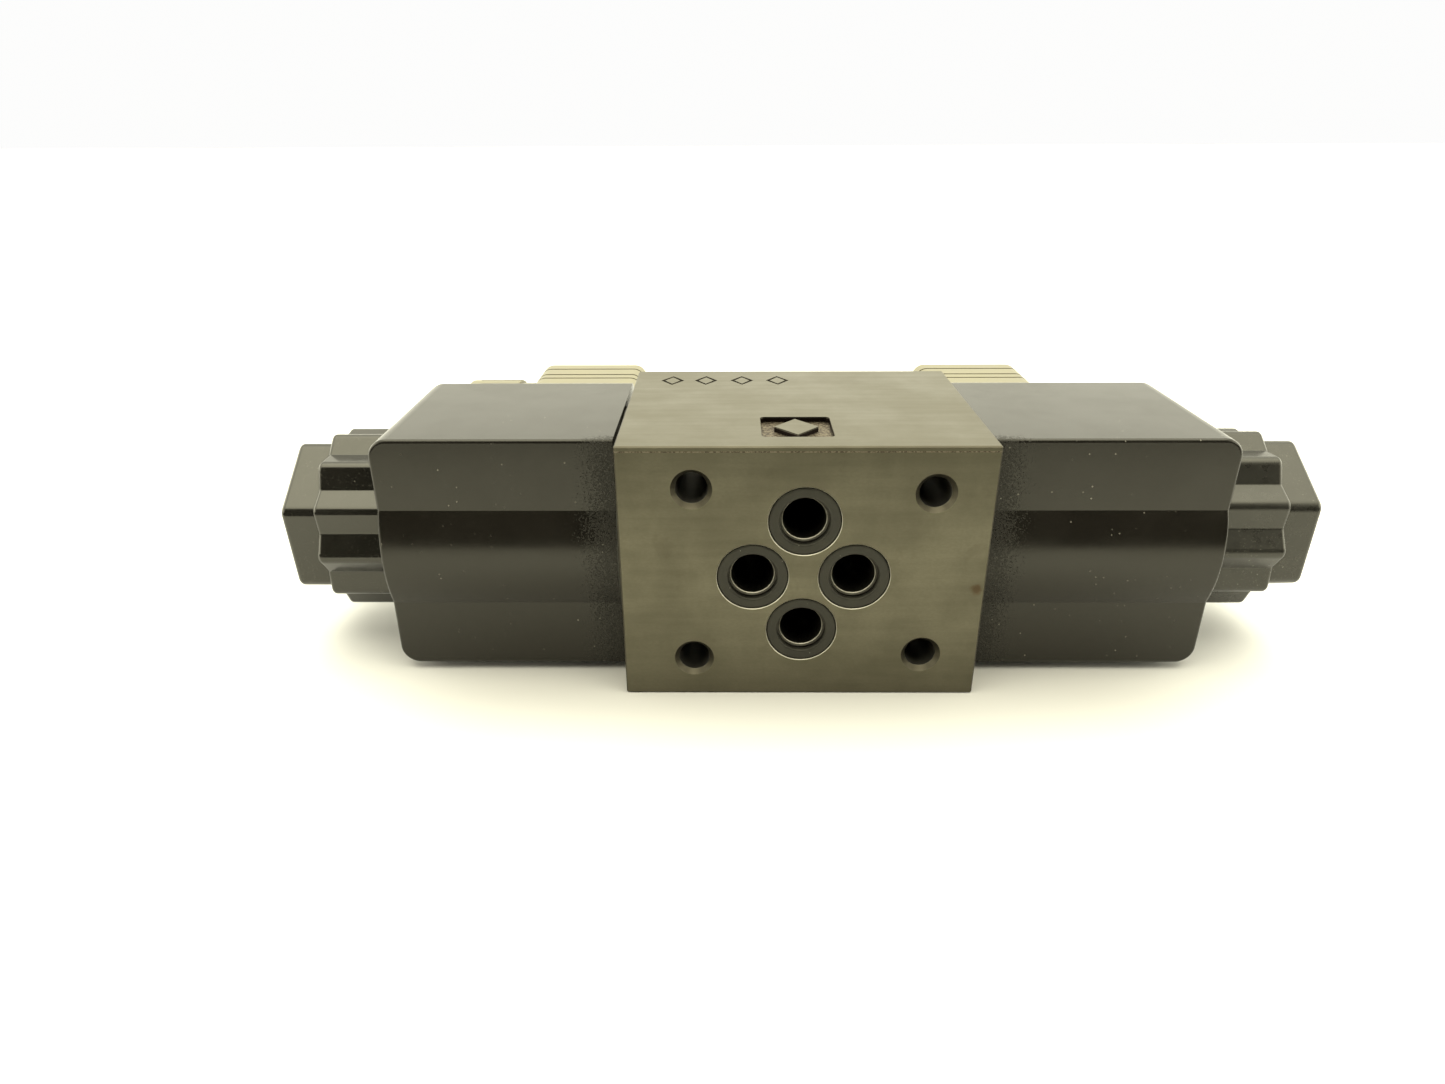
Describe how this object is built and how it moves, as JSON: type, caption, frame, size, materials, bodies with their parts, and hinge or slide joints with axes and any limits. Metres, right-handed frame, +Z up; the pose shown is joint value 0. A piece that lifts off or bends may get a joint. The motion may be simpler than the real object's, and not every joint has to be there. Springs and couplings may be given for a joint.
{
  "type": "solenoid operated hydraulic directional valve",
  "caption": "Double-solenoid hydraulic directional valve: machined block with a ported mounting face, spool, black coils with lobed nuts, and ivory cable plugs",
  "frame": {"origin": "centre of the port pattern on the mounting face", "axes": "+X along the spool, -Y out of the mounting face, +Z up with the valve lying on its side"},
  "size_m": [0.19, 0.094, 0.0474],
  "materials": {
    "machined_iron": "machined, lightly oiled",
    "seal_rubber": "matt",
    "plate_aluminium": "brushed, blank",
    "bright_steel": "ground",
    "spring_steel": "drawn wire",
    "plated_steel": "zinc plated",
    "soft_iron": "turned",
    "coil_moulding": "satin black",
    "nut_moulding": "satin black",
    "bobbin_plastic": "natural",
    "copper_wire": "enamelled copper",
    "contact_brass": "tinned",
    "plug_plastic": "ivory, satin",
    "insert_plastic": "black"
  },
  "bodies": {
    "valve": {"valve_body": "machined_iron", "port_o_rings": "seal_rubber", "name_plate": "plate_aluminium", "name_plate_rivets": "bright_steel", "tube_o_rings": "seal_rubber", "override_o_rings": "seal_rubber", "coil_seals": "seal_rubber", "nut_seals": "seal_rubber", "plug_gaskets": "seal_rubber", "plug_screws": "bright_steel", "gland_nuts": "plug_plastic", "gland_washers": "bright_steel", "gland_grommets": "seal_rubber", "centring_spring_left": "spring_steel", "centring_spring_right": "spring_steel", "solenoid_tube_left": "plated_steel", "solenoid_tube_right": "plated_steel", "pole_piece_left": "soft_iron", "pole_piece_right": "soft_iron", "tube_end_plug_left": "plated_steel", "tube_end_plug_right": "plated_steel", "coil_housing_left": "coil_moulding", "coil_housing_right": "coil_moulding", "coil_yoke_left": "soft_iron", "coil_yoke_right": "soft_iron", "coil_bobbin_left": "bobbin_plastic", "coil_bobbin_right": "bobbin_plastic", "coil_winding_left": "copper_wire", "coil_winding_right": "copper_wire", "coil_terminals_left": "contact_brass", "coil_terminals_right": "contact_brass", "coil_nut_left": "nut_moulding", "coil_nut_right": "nut_moulding", "plug_housing_left": "plug_plastic", "plug_housing_right": "plug_plastic", "plug_insert_left": "insert_plastic", "plug_insert_right": "insert_plastic"},
    "spool": {"spool": "bright_steel", "spring_seats": "bright_steel"},
    "plunger_left": {"armature_left": "soft_iron", "push_pin_left": "bright_steel"},
    "plunger_right": {"armature_right": "soft_iron", "push_pin_right": "bright_steel"},
    "override_left": {"override_pin_left": "bright_steel"},
    "override_right": {"override_pin_right": "bright_steel"}
  },
  "joints": [
    {"name": "spool_slide", "type": "slide", "parent": "valve", "child": "spool", "axis": [1, 0, 0], "range_m": [-0.003, 0.003], "stiffness_N_per_m": 4000, "deforming": ["centring_spring_left", "centring_spring_right"]},
    {"name": "plunger_left_slide", "type": "slide", "parent": "valve", "child": "plunger_left", "axis": [1, 0, 0], "range_m": [-0.003, 0.003]},
    {"name": "plunger_right_slide", "type": "slide", "parent": "valve", "child": "plunger_right", "axis": [1, 0, 0], "range_m": [-0.003, 0.003]},
    {"name": "override_left_push", "type": "slide", "parent": "valve", "child": "override_left", "axis": [1, 0, 0], "range_m": [0, 0.003], "stiffness_N_per_m": 200},
    {"name": "override_right_push", "type": "slide", "parent": "valve", "child": "override_right", "axis": [-1, 0, 0], "range_m": [0, 0.003], "stiffness_N_per_m": 200}
  ],
  "couplings": [
    {"joint": "plunger_left_slide", "follows": "spool_slide", "ratio": 1},
    {"joint": "plunger_right_slide", "follows": "spool_slide", "ratio": 1}
  ]
}
